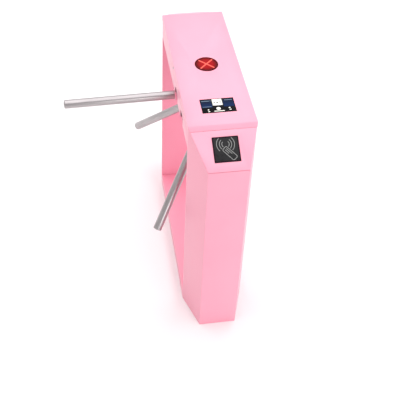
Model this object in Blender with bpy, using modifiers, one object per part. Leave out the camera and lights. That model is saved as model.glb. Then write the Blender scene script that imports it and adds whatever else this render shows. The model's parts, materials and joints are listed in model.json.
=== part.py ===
"""Tripod turnstile with a bridge-shaped sheet-steel cabinet, built as separate pieces.

Metres, +Z up. The origin is the middle of the base's footprint, on the floor. +Y runs along the
cabinet, away from its card-reader end, and the three arms stand out towards -X.
"""
import math

import bmesh
import bpy
from mathutils import Matrix, Vector

# Cabinet: a long box on two columns, with the plan of a stretched octagon.
HEIGHT = 1.000
WIDTH = 0.256
LID_LENGTH = 0.734
END_RUN = 0.151
END_INSET = 0.0515
SLOPE_FOOT = 0.906
LID_LIP = 0.0238
LID_PROUD = 0.0015
END_LIP_RUN = 0.0145
END_LIP_DROP = 0.014
BOX_BOTTOM = 0.891
COLUMN_INNER = 0.361
SHEET = 0.002
GAP = 0.0003
RUNNING = 0.0001
BASE_THICK = 0.006
TRAY_TOP = 0.055
ANCHOR_RADIUS = 0.007
ANCHOR_X = 0.075
ANCHOR_Y = 0.425

# Tripod: the three arm axes meet at the apex and lie on a cone about the tilted spin axis.
APEX = Vector((0.051, -0.001, 0.8615))
TILT = math.radians(36.42)
REST_TURN = math.radians(-2.0)
ARM_COUNT = 3
ARM_RADIUS = 0.0175
ARM_WALL = 0.0015
ARM_START = 0.1205
ARM_END = 0.6176
ARM_TIP = 0.6234
SOCKET_RADIUS = 0.0225
SOCKET_START = 0.100
SOCKET_END = 0.178
SOCKET_BORE_START = 0.120
SET_SCREW_AT = 0.160
SET_SCREW_RADIUS = 0.004

# Mechanism, measured along the spin axis from the apex towards the hub.
SHAFT_RADIUS = 0.012
SHAFT_REAR = -0.046
SHAFT_FRONT = 0.1095
CHASSIS_BACK = -0.0117
CHASSIS_FRONT = -0.006
HOUSING_BACK = -0.032
HOUSING_FRONT = 0.020
BEARING_RADIUS = 0.020
BEARING_WIDTH = 0.010
LOCK_BACK = 0.0260
LOCK_FRONT = 0.0340
LOCK_RADIUS = 0.055
LOCK_NOTCHES = 12
NOTCH_DEPTH = 0.0075
NOTCH_HALF_WIDTH = 0.0065
CAM_BACK = 0.0343
CAM_FRONT = 0.0423
CAM_MEAN = 0.044
CAM_LIFT = 0.008
HUB_BACK = 0.0426
COVER_FACE = 0.063
HUB_FACE = 0.0668
PAWL_PIVOT = Vector((0.060, 0.066))
PAWL_NOTCH = math.radians(15)
PAWL_CLEAR = 0.0565
PIN_RADIUS = 0.004
LEVER_PIVOT = Vector((-0.062, -0.062))
ROLLER_AT = Vector((-0.062, 0.0))
LEVER_END = Vector((-0.062, 0.053))
LEVER_STOP = Vector((-0.0497, 0.053))

# Display, indicator and reader.
INDICATOR_RADIUS = 0.0465
DISPLAY_SIZE = (0.128, 0.081)
DISPLAY_Y = -0.259
READER_SIZE = (0.097, 0.0965)
READER_DOWN = 0.0745

LID_HALF = LID_LENGTH / 2
END_HALF = LID_HALF + END_RUN
HALF = WIDTH / 2
LIP_BOTTOM = HEIGHT - LID_LIP
SLOPE_TOP = HEIGHT - END_LIP_DROP
SLOPE_RUN = END_RUN - END_LIP_RUN
SLOPE = math.atan2(SLOPE_TOP - SLOPE_FOOT, SLOPE_RUN)
SLOPE_LENGTH = math.hypot(SLOPE_TOP - SLOPE_FOOT, SLOPE_RUN)
SLOPE_TOP_HALF = HALF - END_INSET * END_LIP_RUN / END_RUN
ROUND_STEPS = 28

for old in list(bpy.data.objects):
    bpy.data.objects.remove(old)

parts = bpy.data.collections.new("tripod_turnstile")
cutters = bpy.data.collections.new("cutters")
bpy.context.scene.collection.children.link(parts)
bpy.context.scene.collection.children.link(cutters)


def material(name, colour, roughness, metallic):
    made = bpy.data.materials.new(name)
    made.use_nodes = True
    shader = made.node_tree.nodes["Principled BSDF"]
    shader.inputs["Base Color"].default_value = (*colour, 1)
    shader.inputs["Roughness"].default_value = roughness
    shader.inputs["Metallic"].default_value = metallic
    return made


PINK = material("pink_powder_coat", (0.93, 0.55, 0.69), 0.35, 0.0)
STEEL = material("brushed_stainless", (0.62, 0.60, 0.60), 0.3, 1.0)
DARK_STEEL = material("machined_steel", (0.30, 0.30, 0.32), 0.4, 1.0)
ZINC = material("zinc_plated_steel", (0.55, 0.56, 0.58), 0.4, 1.0)
BLACK = material("black_glass", (0.02, 0.02, 0.025), 0.1, 0.0)
RED = material("red_lens", (0.60, 0.01, 0.01), 0.2, 0.0)
BOARD = material("green_board", (0.02, 0.16, 0.06), 0.5, 0.0)
PLASTIC = material("grey_plastic", (0.12, 0.12, 0.13), 0.5, 0.0)
BRASS = material("brass", (0.70, 0.52, 0.22), 0.3, 1.0)


def add(name, mesh, finish, parent=None, matrix=None):
    """A named piece in the parts collection."""
    piece = bpy.data.objects.new(name, mesh)
    parts.objects.link(piece)
    mesh.materials.clear()
    mesh.materials.append(finish)
    if parent:
        piece.parent = parent
    if matrix:
        piece.matrix_local = matrix
    return piece


def empty(name, matrix, parent=None):
    """An axis that pieces are placed on."""
    axis = bpy.data.objects.new(name, None)
    parts.objects.link(axis)
    axis.empty_display_size = 0.05
    if parent:
        axis.parent = parent
    axis.matrix_local = matrix
    return axis


def circle(radius, centre=(0, 0), steps=ROUND_STEPS, clockwise=False):
    """Points round a circle, for an outline or a hole."""
    turn = -2 * math.pi / steps if clockwise else 2 * math.pi / steps
    return [
        (centre[0] + radius * math.cos(i * turn), centre[1] + radius * math.sin(i * turn))
        for i in range(steps)
    ]


def rectangle(size, centre=(0, 0)):
    x, y = size[0] / 2, size[1] / 2
    return [
        (centre[0] + i * x, centre[1] + j * y) for i, j in ((-1, -1), (1, -1), (1, 1), (-1, 1))
    ]


def plate_mesh(name, outlines, low, high):
    """A flat plate from its outline and holes, lying between two heights."""
    curve = bpy.data.curves.new(name, "CURVE")
    curve.dimensions = "2D"
    curve.fill_mode = "BOTH"
    curve.extrude = (high - low) / 2
    for outline in outlines:
        spline = curve.splines.new("POLY")
        spline.points.add(len(outline) - 1)
        for point, (x, y) in zip(spline.points, outline):
            point.co = (x, y, 0, 1)
        spline.use_cyclic_u = True
    guide = bpy.data.objects.new(name, curve)
    cutters.objects.link(guide)
    guide.location.z = (low + high) / 2
    bpy.context.view_layer.update()
    graph = bpy.context.evaluated_depsgraph_get()
    mesh = bpy.data.meshes.new_from_object(guide.evaluated_get(graph))
    mesh.transform(guide.matrix_world)
    bpy.data.objects.remove(guide)
    form = bmesh.new()
    form.from_mesh(mesh)
    bmesh.ops.remove_doubles(form, verts=form.verts, dist=0.00001)
    bmesh.ops.recalc_face_normals(form, faces=form.faces)
    form.to_mesh(mesh)
    form.free()
    return mesh


def plate(name, outlines, low, high, finish, parent=None, matrix=None):
    return add(name, plate_mesh(name, outlines, low, high), finish, parent, matrix)


def block_mesh(name, low, high):
    """A rectangular block between two corners."""
    form = bmesh.new()
    bmesh.ops.create_cube(form, size=1)
    size = Vector(high) - Vector(low)
    middle = (Vector(high) + Vector(low)) / 2
    for vertex in form.verts:
        vertex.co = Vector(c * s for c, s in zip(vertex.co, size)) + middle
    mesh = bpy.data.meshes.new(name)
    form.to_mesh(mesh)
    form.free()
    return mesh


def block(name, low, high, finish, parent=None):
    return add(name, block_mesh(name, low, high), finish, parent)


def turned(name, profile, finish, parent=None, matrix=None, ring=False, steps=ROUND_STEPS):
    """A lathe-turned piece. Its profile runs down the outer side; a ring's profile closes."""
    count = len(profile)
    edges = [(i, i + 1) for i in range(count - 1)]
    if ring:
        edges.append((count - 1, 0))
    mesh = bpy.data.meshes.new(name)
    mesh.from_pydata([(r, 0, z) for r, z in profile], edges, [])
    piece = add(name, mesh, finish, parent, matrix)
    screw = piece.modifiers.new("turn", "SCREW")
    screw.axis = "Z"
    screw.steps = steps
    screw.render_steps = steps
    screw.use_merge_vertices = True
    screw.merge_threshold = 0.00001
    screw.use_smooth_shade = True
    return piece


def cylinder(name, radius, low, high, finish, parent=None, matrix=None, steps=ROUND_STEPS):
    """A plain round bar along its own Z axis."""
    form = bmesh.new()
    bmesh.ops.create_cone(
        form,
        cap_ends=True,
        segments=steps,
        radius1=radius,
        radius2=radius,
        depth=high - low,
        matrix=Matrix.Translation((0, 0, (low + high) / 2)),
    )
    for face in form.faces:
        face.smooth = abs(face.normal.z) < 0.5
    mesh = bpy.data.meshes.new(name)
    form.to_mesh(mesh)
    form.free()
    return add(name, mesh, finish, parent, matrix)


def ring(name, inner, outer, low, high, finish, parent=None, matrix=None):
    profile = [(outer, high), (outer, low), (inner, low), (inner, high)]
    return turned(name, profile, finish, parent, matrix, ring=True)


def cutter(piece):
    """Turns a piece into a guide for cutting, out of the parts."""
    parts.objects.unlink(piece)
    cutters.objects.link(piece)
    piece.hide_render = True
    piece.display_type = "WIRE"
    return piece


def carve(piece, tool, operation="DIFFERENCE"):
    boolean = piece.modifiers.new("carve", "BOOLEAN")
    boolean.operation = operation
    boolean.solver = "EXACT"
    boolean.object = tool


def thicken(piece, thickness):
    """Gives an open sheet its wall, on the inner side."""
    wall = piece.modifiers.new("wall", "SOLIDIFY")
    wall.thickness = thickness
    wall.offset = -1
    wall.use_even_offset = True
    wall.use_rim = True


def strip_mesh(name, path, low, high):
    """An upright open sheet that follows a path in plan."""
    form = bmesh.new()
    verts = [form.verts.new((x, y, low)) for x, y in path]
    edges = [form.edges.new(pair) for pair in zip(verts, verts[1:])]
    grown = bmesh.ops.extrude_edge_only(form, edges=edges)
    for item in grown["geom"]:
        if isinstance(item, bmesh.types.BMVert):
            item.co.z = high
    bmesh.ops.recalc_face_normals(form, faces=form.faces)
    mesh = bpy.data.meshes.new(name)
    form.to_mesh(mesh)
    form.free()
    return mesh


# --- Base -------------------------------------------------------------------------------------


def footprint(shrink=0.0):
    """The cabinet's plan, a stretched octagon."""
    x = HALF - shrink
    tip = HALF - END_INSET - shrink
    end = END_HALF - shrink
    return [
        (x, -LID_HALF),
        (x, LID_HALF),
        (tip, end),
        (-tip, end),
        (-x, LID_HALF),
        (-x, -LID_HALF),
        (-tip, -end),
        (tip, -end),
    ]


GLAND_AT = (0.0, -0.470)
GLAND_THREAD = 0.010
anchor_holes = [
    circle(ANCHOR_RADIUS, (i * ANCHOR_X, j * ANCHOR_Y), 16) for i in (-1, 1) for j in (-1, 1)
]
gland_hole = circle(GLAND_THREAD + GAP, GLAND_AT, 20)
plate("base_plate", [footprint(), *anchor_holes, gland_hole], 0, BASE_THICK, PINK)

turned(
    "cable_gland",
    [
        (GLAND_THREAD, 0.034),
        (0.016, 0.030),
        (0.016, BASE_THICK + GAP),
        (GLAND_THREAD, BASE_THICK + GAP),
        (GLAND_THREAD, 0.0008),
        (0.006, 0.0008),
        (0.006, 0.034),
    ],
    PLASTIC,
    matrix=Matrix.Translation((*GLAND_AT, 0)),
    ring=True,
    steps=24,
)

tray_mesh = block_mesh(
    "floor_tray",
    (-HALF, -COLUMN_INNER + GAP, BASE_THICK + GAP),
    (HALF, COLUMN_INNER - GAP, TRAY_TOP),
)
form = bmesh.new()
form.from_mesh(tray_mesh)
underside = [face for face in form.faces if face.normal.z < -0.5]
bmesh.ops.delete(form, geom=underside, context="FACES_ONLY")
form.to_mesh(tray_mesh)
form.free()
thicken(add("floor_tray", tray_mesh, PINK), SHEET)


# --- Columns, service panels and sloping panels at both ends -----------------------------------


def slope_axis(end):
    """The frame of a sloping panel: origin at the lid's end lip, +X across, +Y down the slope."""
    across = Vector((end, 0, 0))
    down = Vector((0, end * math.cos(SLOPE), -math.sin(SLOPE)))
    out = across.cross(down)
    turn = Matrix((across, down, out)).transposed().to_4x4()
    return Matrix.Translation((0, end * (LID_HALF + END_LIP_RUN), SLOPE_TOP)) @ turn


PANEL_UNDER = 0.002
PANEL_START = 0.0006

for end, side in ((-1, "near"), (1, "far")):
    path = [
        (HALF, end * COLUMN_INNER),
        (HALF, end * LID_HALF),
        (HALF - END_INSET, end * END_HALF),
        (END_INSET - HALF, end * END_HALF),
        (-HALF, end * LID_HALF),
        (-HALF, end * COLUMN_INNER),
    ]
    column_mesh = strip_mesh(f"{side}_column", path, BASE_THICK + GAP, HEIGHT)
    form = bmesh.new()
    form.from_mesh(column_mesh)
    frame = slope_axis(end)
    up = frame.to_3x3() @ Vector((0, 0, 1))
    everything = list(form.verts) + list(form.edges) + list(form.faces)
    under = frame.translation - up * (PANEL_UNDER + GAP)
    bmesh.ops.bisect_plane(form, geom=everything, plane_co=under, plane_no=up, clear_outer=True)
    for face in form.faces:
        middle = face.calc_center_median()
        outward = Vector((middle.x, middle.y - end * COLUMN_INNER, 0))
        if face.normal.dot(outward) < 0:
            face.normal_flip()
    form.to_mesh(column_mesh)
    form.free()
    column = add(f"{side}_column", column_mesh, PINK)
    thicken(column, SHEET)

    inner = end * (COLUMN_INNER + 0.0005)
    outer = end * (COLUMN_INNER + 0.0005 + SHEET)
    block(
        f"{side}_service_panel",
        (-HALF + SHEET + GAP, min(inner, outer), BASE_THICK + GAP),
        (HALF - SHEET - GAP, max(inner, outer), BOX_BOTTOM + SHEET),
        PINK,
    )

    narrow = HALF - END_INSET
    outline = [
        (-SLOPE_TOP_HALF, PANEL_START),
        (SLOPE_TOP_HALF, PANEL_START),
        (narrow, SLOPE_LENGTH),
        (-narrow, SLOPE_LENGTH),
    ]
    outlines = [outline]
    if side == "near":
        outlines.append(rectangle([s + 2 * GAP for s in READER_SIZE], (0, READER_DOWN)))
    plate(f"{side}_slope_panel", outlines, -PANEL_UNDER, 0, PINK, matrix=frame)

near_frame = slope_axis(-1)
plate(
    "reader_glass",
    [rectangle(READER_SIZE, (0, READER_DOWN))],
    -PANEL_UNDER,
    0.0012,
    BLACK,
    matrix=near_frame,
)
plate(
    "reader_housing",
    [rectangle([s - 0.004 for s in READER_SIZE], (0, READER_DOWN))],
    -0.022,
    -PANEL_UNDER - GAP,
    PLASTIC,
    matrix=near_frame,
)


# --- Box and lid --------------------------------------------------------------------------------

box_top = LIP_BOTTOM - GAP
box_path = [(-HALF, box_top), (-HALF, BOX_BOTTOM), (HALF, BOX_BOTTOM), (HALF, box_top)]
box_mesh = strip_mesh("box_pan", box_path, -COLUMN_INNER + GAP, COLUMN_INNER - GAP)
form = bmesh.new()
form.from_mesh(box_mesh)
for vertex in form.verts:
    vertex.co = Vector((vertex.co.x, vertex.co.z, vertex.co.y))
box_middle = Vector((0, 0, box_top))
for face in form.faces:
    face.normal_update()
    if face.normal.dot(face.calc_center_median() - box_middle) < 0:
        face.normal_flip()
form.to_mesh(box_mesh)
form.free()
box_pan = add("box_pan", box_mesh, PINK)
thicken(box_pan, SHEET)

# Two rounded relief notches in the arm-side wall, with a tongue of sheet left between them.
NOTCH_HEIGHT = 0.040
NOTCHES = ((-0.096, -0.030), (-0.236, -0.178))
NOTCH_CORNER = 0.012
for number, (start, end) in enumerate(NOTCHES):
    corner_points = []
    for step in range(5):
        turn = math.radians(90 * step / 4)
        corner_points.append((math.cos(turn) * NOTCH_CORNER, math.sin(turn) * NOTCH_CORNER))
    top = BOX_BOTTOM + NOTCH_HEIGHT - NOTCH_CORNER
    right = [(end - NOTCH_CORNER + x, top + z) for x, z in corner_points]
    left = [(start + NOTCH_CORNER - x, top + z) for x, z in reversed(corner_points)]
    outline = [(start, BOX_BOTTOM - 0.01), (end, BOX_BOTTOM - 0.01), *right, *left]
    across = Matrix(((0, 0, 1), (1, 0, 0), (0, 1, 0))).to_4x4()
    notch = plate(f"notch_{number}", [outline], -HALF - 0.01, -HALF + 0.004, PINK, matrix=across)
    carve(box_pan, cutter(notch))
WELL_X = (-0.050, 0.1225)
WELL_HALF = 0.099
well = block(
    "well",
    (WELL_X[0], APEX.y - WELL_HALF, BOX_BOTTOM - 0.01),
    (WELL_X[1], APEX.y + WELL_HALF, BOX_BOTTOM + 0.01),
    PINK,
)
carve(box_pan, cutter(well))

LID_SCREW_Y = 0.013
LID_SCREW_Z = HEIGHT - 0.0165
LID_SCREW_SHANK = 0.002
# The lid's long sides hang straight down. Its ends slope outwards to the sloping panels, and
# small cheeks close their sides in line with the columns.
lid_x = HALF + LID_PROUD
lip_x = SLOPE_TOP_HALF + LID_PROUD
lip_y = LID_HALF + END_LIP_RUN
form = bmesh.new()
lid_corners = {}
for i in (-1, 1):
    for j in (-1, 1):
        lid_corners[i, j] = (
            form.verts.new((i * lid_x, j * LID_HALF, HEIGHT)),
            form.verts.new((i * lip_x, j * lip_y, SLOPE_TOP)),
            form.verts.new((i * lid_x, j * LID_HALF, LIP_BOTTOM)),
        )
form.faces.new([lid_corners[corner][0] for corner in ((-1, -1), (1, -1), (1, 1), (-1, 1))])
for j in (-1, 1):
    left, right = lid_corners[-1, j], lid_corners[1, j]
    form.faces.new((left[0], right[0], right[1], left[1]))
for i in (-1, 1):
    near, far = lid_corners[i, -1], lid_corners[i, 1]
    form.faces.new((near[0], far[0], far[2], near[2]))
    form.faces.new(near)
    form.faces.new(far)
lid_middle = Vector((0, 0, LIP_BOTTOM))
for face in form.faces:
    face.normal_update()
    if face.normal.dot(face.calc_center_median() - lid_middle) < 0:
        face.normal_flip()
lid_mesh = bpy.data.meshes.new("lid")
form.to_mesh(lid_mesh)
form.free()
lid = add("lid", lid_mesh, PINK)
thicken(lid, LID_PROUD - GAP)
carve(lid, cutter(cylinder("indicator_hole", INDICATOR_RADIUS + GAP, 0.97, 1.01, PINK, steps=48)))
display_low = (-DISPLAY_SIZE[0] / 2 - GAP, DISPLAY_Y - DISPLAY_SIZE[1] / 2 - GAP, 0.98)
display_high = (DISPLAY_SIZE[0] / 2 + GAP, DISPLAY_Y + DISPLAY_SIZE[1] / 2 + GAP, 1.01)
carve(lid, cutter(block("display_hole", display_low, display_high, PINK)))

for side, name in ((-1, "left"), (1, "right")):
    across = Matrix.Translation((0, LID_SCREW_Y, LID_SCREW_Z)) @ Matrix.Rotation(
        side * math.pi / 2, 4, "Y"
    )
    shank_hole = cylinder(
        f"{name}_screw_hole", LID_SCREW_SHANK + GAP, HALF - 0.02, HALF + 0.01, PINK, None, across, 12
    )
    carve(lid, cutter(shank_hole))
    head_low = HALF + LID_PROUD + GAP
    turned(
        f"lid_screw_{name}",
        [
            (0, head_low + 0.0016),
            (0.0036, head_low + 0.0012),
            (0.0042, head_low),
            (LID_SCREW_SHANK, head_low),
            (LID_SCREW_SHANK, HALF - 0.008),
            (0, HALF - 0.008),
        ],
        ZINC,
        matrix=across,
        steps=16,
    )

turned(
    "indicator_lens",
    [
        (0, HEIGHT + 0.0012),
        (INDICATOR_RADIUS * 0.6, HEIGHT + 0.0009),
        (INDICATOR_RADIUS - 0.001, HEIGHT + 0.0003),
        (INDICATOR_RADIUS, HEIGHT - 0.0005),
        (INDICATOR_RADIUS, HEIGHT - 0.006),
        (0, HEIGHT - 0.006),
    ],
    RED,
    steps=48,
)
cylinder("indicator_board", INDICATOR_RADIUS - 0.004, HEIGHT - 0.014, HEIGHT - 0.0065, BOARD)
display_centre = (0, DISPLAY_Y)
plate(
    "display_window",
    [rectangle(DISPLAY_SIZE, display_centre)],
    HEIGHT - 0.003,
    HEIGHT + 0.0005,
    BLACK,
)
module_size = (DISPLAY_SIZE[0] - 0.006, DISPLAY_SIZE[1] - 0.006)
plate(
    "display_module",
    [rectangle(module_size, display_centre)],
    HEIGHT - 0.016,
    HEIGHT - 0.0035,
    BOARD,
)


# --- Spin axis and the mechanism's fixed pieces ---------------------------------------------------

spin_columns = (
    Vector((-math.sin(TILT), 0, math.cos(TILT))),
    Vector((0, 1, 0)),
    Vector((-math.cos(TILT), 0, -math.sin(TILT))),
)
spin_matrix = Matrix.Translation(APEX) @ Matrix(spin_columns).transposed().to_4x4()
spin = empty("spin_axis", spin_matrix)

CHASSIS_LOW = -0.085
CHASSIS_HIGH = 0.108
CHASSIS_HALF = 0.093
HOUSING_RADIUS = 0.030
chassis_outline = [
    (CHASSIS_LOW, -CHASSIS_HALF),
    (CHASSIS_HIGH, -CHASSIS_HALF),
    (CHASSIS_HIGH, CHASSIS_HALF),
    (CHASSIS_LOW, CHASSIS_HALF),
]
housing_hole = circle(HOUSING_RADIUS + GAP)
plate(
    "mechanism_chassis",
    [chassis_outline, housing_hole],
    CHASSIS_BACK,
    CHASSIS_FRONT,
    ZINC,
    spin,
)

# Cheek plates carry the chassis behind its two edges. Their outline is in the XZ plane.
CHEEK_THICK = 0.004
back_low = spin_matrix @ Vector((CHASSIS_LOW, 0, CHASSIS_BACK - GAP))
back_high = spin_matrix @ Vector((CHASSIS_HIGH - 0.030, 0, CHASSIS_BACK - GAP))
CHEEK_RIGHT = 0.1220
FOOT_LEFT = 0.050
FOOT_OUT = 0.026
FOOT_Z = BOX_BOTTOM + SHEET + GAP
cheek_outline = [
    (back_low.x, back_low.z),
    (CHEEK_RIGHT, back_low.z),
    (CHEEK_RIGHT, back_high.z),
    (back_high.x, back_high.z),
]
stand_up = Matrix(((1, 0, 0), (0, 0, 1), (0, 1, 0))).to_4x4()
for side, name in ((-1, "near"), (1, "far")):
    centre = APEX.y + side * (CHASSIS_HALF - CHEEK_THICK / 2)
    mesh = plate_mesh(
        f"mount_cheek_{name}", [cheek_outline], centre - CHEEK_THICK / 2, centre + CHEEK_THICK / 2
    )
    mesh.transform(stand_up)
    mesh.flip_normals()
    cheek = add(f"mount_cheek_{name}", mesh, ZINC)
    inner = centre - side * CHEEK_THICK / 2
    outer = centre + side * FOOT_OUT
    foot = block(
        f"cheek_foot_{name}",
        (FOOT_LEFT, min(inner, outer), FOOT_Z),
        (CHEEK_RIGHT - 0.001, max(inner, outer), FOOT_Z + CHEEK_THICK),
        ZINC,
    )
    carve(cheek, cutter(foot), "UNION")

# The cover closes the mechanism below the box. Its sloping face is square to the spin axis.
COVER_HALF = 0.104
COVER_RIGHT = 0.124
COVER_LOW_AT = -0.090
COVER_TRIM = BOX_BOTTOM - GAP
COVER_TOP = BOX_BOTTOM + 0.004
face_centre = spin_matrix @ Vector((0, 0, COVER_FACE))
rise = (COVER_TOP - face_centre.z) / math.cos(TILT)
face_high = spin_matrix @ Vector((rise, 0, COVER_FACE))
face_low = spin_matrix @ Vector((COVER_LOW_AT, 0, COVER_FACE))
cover_path = [
    (face_high.x, face_high.z),
    (face_low.x, face_low.z),
    (COVER_RIGHT, face_low.z),
    (COVER_RIGHT, COVER_TOP),
]
cover_mesh = plate_mesh(
    "mechanism_cover", [cover_path], APEX.y - COVER_HALF, APEX.y + COVER_HALF
)
cover_mesh.transform(stand_up)
cover_mesh.flip_normals()
form = bmesh.new()
form.from_mesh(cover_mesh)
bmesh.ops.recalc_face_normals(form, faces=form.faces)
open_side = [face for face in form.faces if face.normal.z > 0.999]
bmesh.ops.delete(form, geom=open_side, context="FACES_ONLY")
form.to_mesh(cover_mesh)
form.free()
cover = add("mechanism_cover", cover_mesh, PINK)
thicken(cover, 0.0015)
trim = block("cover_trim", (-0.1, -0.2, COVER_TRIM), (0.2, 0.2, COVER_TRIM + 0.02), PINK)
carve(cover, cutter(trim))
neck_hole = cylinder("neck_hole", 0.028, COVER_FACE - 0.01, COVER_FACE + 0.01, PINK, spin)
carve(cover, cutter(neck_hole))

HOUSING_BORE = BEARING_RADIUS + 0.0002
FLANGE_RADIUS = 0.046
turned(
    "bearing_housing",
    [
        (HOUSING_RADIUS, HOUSING_FRONT),
        (HOUSING_RADIUS, -0.0010),
        (FLANGE_RADIUS, -0.0010),
        (FLANGE_RADIUS, CHASSIS_FRONT + GAP),
        (HOUSING_RADIUS, CHASSIS_FRONT + GAP),
        (HOUSING_RADIUS, HOUSING_BACK),
        (HOUSING_BORE, HOUSING_BACK),
        (HOUSING_BORE, HOUSING_FRONT),
    ],
    DARK_STEEL,
    spin,
    ring=True,
)
BEARING_BORE = SHAFT_RADIUS + RUNNING
front_low = HOUSING_FRONT - 0.001 - BEARING_WIDTH
rear_low = HOUSING_BACK + 0.001
for name, low in (("front_bearing", front_low), ("rear_bearing", rear_low)):
    ring(name, BEARING_BORE, BEARING_RADIUS, low, low + BEARING_WIDTH, STEEL, spin)

ENCODER_CUP = 0.036
turned(
    "encoder_cover",
    [
        (0, SHAFT_REAR - 0.0060),
        (ENCODER_CUP - 0.0015, SHAFT_REAR - 0.0060),
        (ENCODER_CUP - 0.0015, CHASSIS_BACK - GAP),
        (ENCODER_CUP, CHASSIS_BACK - GAP),
        (ENCODER_CUP, SHAFT_REAR - 0.0080),
        (0, SHAFT_REAR - 0.0080),
    ],
    PLASTIC,
    spin,
)
cylinder("encoder_board", 0.028, SHAFT_REAR - 0.0050, SHAFT_REAR - 0.0030, BOARD, spin)


# --- Turning pieces -------------------------------------------------------------------------------

SHOULDER_RADIUS = 0.017
turned(
    "main_shaft",
    [
        (0, SHAFT_FRONT),
        (SHAFT_RADIUS, SHAFT_FRONT),
        (SHAFT_RADIUS, LOCK_BACK - GAP),
        (SHOULDER_RADIUS, LOCK_BACK - GAP),
        (SHOULDER_RADIUS, HOUSING_FRONT + 0.0005),
        (SHAFT_RADIUS, HOUSING_FRONT + 0.0005),
        (SHAFT_RADIUS, SHAFT_REAR),
        (0, SHAFT_REAR),
    ],
    DARK_STEEL,
    spin,
)
ring("encoder_ring", SHAFT_RADIUS + GAP, 0.026, SHAFT_REAR + 0.002, SHAFT_REAR + 0.006, BRASS, spin)


def lock_outline():
    """A wheel with square-bottomed notches; a notch stands on each side of the +X line."""
    points = []
    mouth = math.asin(NOTCH_HALF_WIDTH / LOCK_RADIUS)
    floor_radius = LOCK_RADIUS - NOTCH_DEPTH
    floor = math.asin(NOTCH_HALF_WIDTH * 0.9 / floor_radius)
    for notch in range(LOCK_NOTCHES):
        centre = PAWL_NOTCH + notch * 2 * math.pi / LOCK_NOTCHES
        for turn, radius in (
            (-mouth, LOCK_RADIUS),
            (-floor, floor_radius),
            (floor, floor_radius),
            (mouth, LOCK_RADIUS),
        ):
            points.append((radius * math.cos(centre + turn), radius * math.sin(centre + turn)))
    return points


shaft_hole = circle(SHAFT_RADIUS + GAP, steps=24)
plate("lock_wheel", [lock_outline(), shaft_hole], LOCK_BACK, LOCK_FRONT, DARK_STEEL, spin)

cam_points = []
CAM_STEPS = 48
for step in range(CAM_STEPS):
    turn = 2 * math.pi * step / CAM_STEPS
    radius = CAM_MEAN + CAM_LIFT * math.cos(ARM_COUNT * turn)
    cam_points.append((radius * math.cos(turn), radius * math.sin(turn)))
plate("index_cam", [cam_points, shaft_hole], CAM_BACK, CAM_FRONT, DARK_STEEL, spin)

hub = turned(
    "rotor_hub",
    [
        (0, 0.124),
        (0.030, 0.122),
        (0.050, 0.114),
        (0.066, 0.100),
        (0.072, 0.088),
        (0.070, HUB_FACE),
        (0.024, HUB_FACE),
        (0.024, HUB_BACK),
        (0, HUB_BACK),
    ],
    PINK,
    spin,
)
hub_bore = cutter(cylinder("hub_bore", SHAFT_RADIUS + GAP, 0.0, 0.110, PINK, spin, steps=24))

arm_axes = []
for number in range(ARM_COUNT):
    turn = REST_TURN + number * 2 * math.pi / ARM_COUNT
    lean = Matrix.Rotation(turn, 4, "Z") @ Matrix.Rotation(TILT, 4, "Y")
    arm_axes.append(empty(f"arm_axis_{number + 1}", lean, spin))

for number, axis in enumerate(arm_axes, 1):
    socket = cylinder(
        f"socket_{number}", SOCKET_RADIUS, SOCKET_START, SOCKET_END, PINK, axis, steps=24
    )
    carve(hub, cutter(socket), "UNION")
for number, axis in enumerate(arm_axes, 1):
    bore = cylinder(
        f"socket_bore_{number}",
        ARM_RADIUS + GAP,
        SOCKET_BORE_START,
        SOCKET_END + 0.01,
        PINK,
        axis,
        steps=24,
    )
    carve(hub, cutter(bore))
    aim = Matrix.Translation((0, 0, SET_SCREW_AT)) @ Matrix.Rotation(math.pi / 2, 4, "Y")
    screw_hole = cylinder(
        f"set_screw_hole_{number}", SET_SCREW_RADIUS + GAP, 0.012, 0.03, PINK, axis, aim, 12
    )
    carve(hub, cutter(screw_hole))
    cylinder(
        f"arm_set_screw_{number}",
        SET_SCREW_RADIUS,
        ARM_RADIUS + 0.0006,
        SOCKET_RADIUS - 0.0008,
        ZINC,
        axis,
        aim,
        12,
    )
    ring(
        f"arm_tube_{number}",
        ARM_RADIUS - ARM_WALL,
        ARM_RADIUS,
        ARM_START,
        ARM_END,
        STEEL,
        axis,
    )
    plug = ARM_RADIUS - ARM_WALL - GAP
    turned(
        f"arm_end_cap_{number}",
        [
            (0, ARM_TIP),
            (ARM_RADIUS * 0.55, ARM_TIP - 0.0006),
            (ARM_RADIUS * 0.85, ARM_TIP - 0.0022),
            (ARM_RADIUS, ARM_END + GAP),
            (plug, ARM_END + GAP),
            (plug, ARM_END - 0.015),
            (0, ARM_END - 0.015),
        ],
        STEEL,
        axis,
    )
carve(hub, hub_bore)

cylinder("hub_nose_cap", 0.026, 0.1245, 0.1285, STEEL, spin)


# --- Indexing lever, roller and spring --------------------------------------------------------------

LEVER_BACK = CAM_FRONT + 0.0005
LEVER_FRONT = LEVER_BACK + 0.005
LEVER_HALF = 0.008
ROLLER_RADIUS = 0.009


def bar_outline(start, end, half):
    """A flat bar with round ends, from one centre to the other."""
    along = (end - start).angle_signed(Vector((1, 0)))
    points = []
    for centre, first in ((end, -90), (start, 90)):
        for step in range(7):
            turn = along + math.radians(first + 30 * step)
            points.append((centre.x + half * math.cos(turn), centre.y + half * math.sin(turn)))
    return points


plate(
    "index_lever",
    [
        bar_outline(LEVER_PIVOT, LEVER_END, LEVER_HALF),
        circle(PIN_RADIUS + RUNNING, LEVER_PIVOT, 16),
        circle(PIN_RADIUS + RUNNING, ROLLER_AT, 16),
    ],
    LEVER_BACK,
    LEVER_FRONT,
    ZINC,
    spin,
)


def at(point):
    return Matrix.Translation((point.x, point.y, 0))


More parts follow.
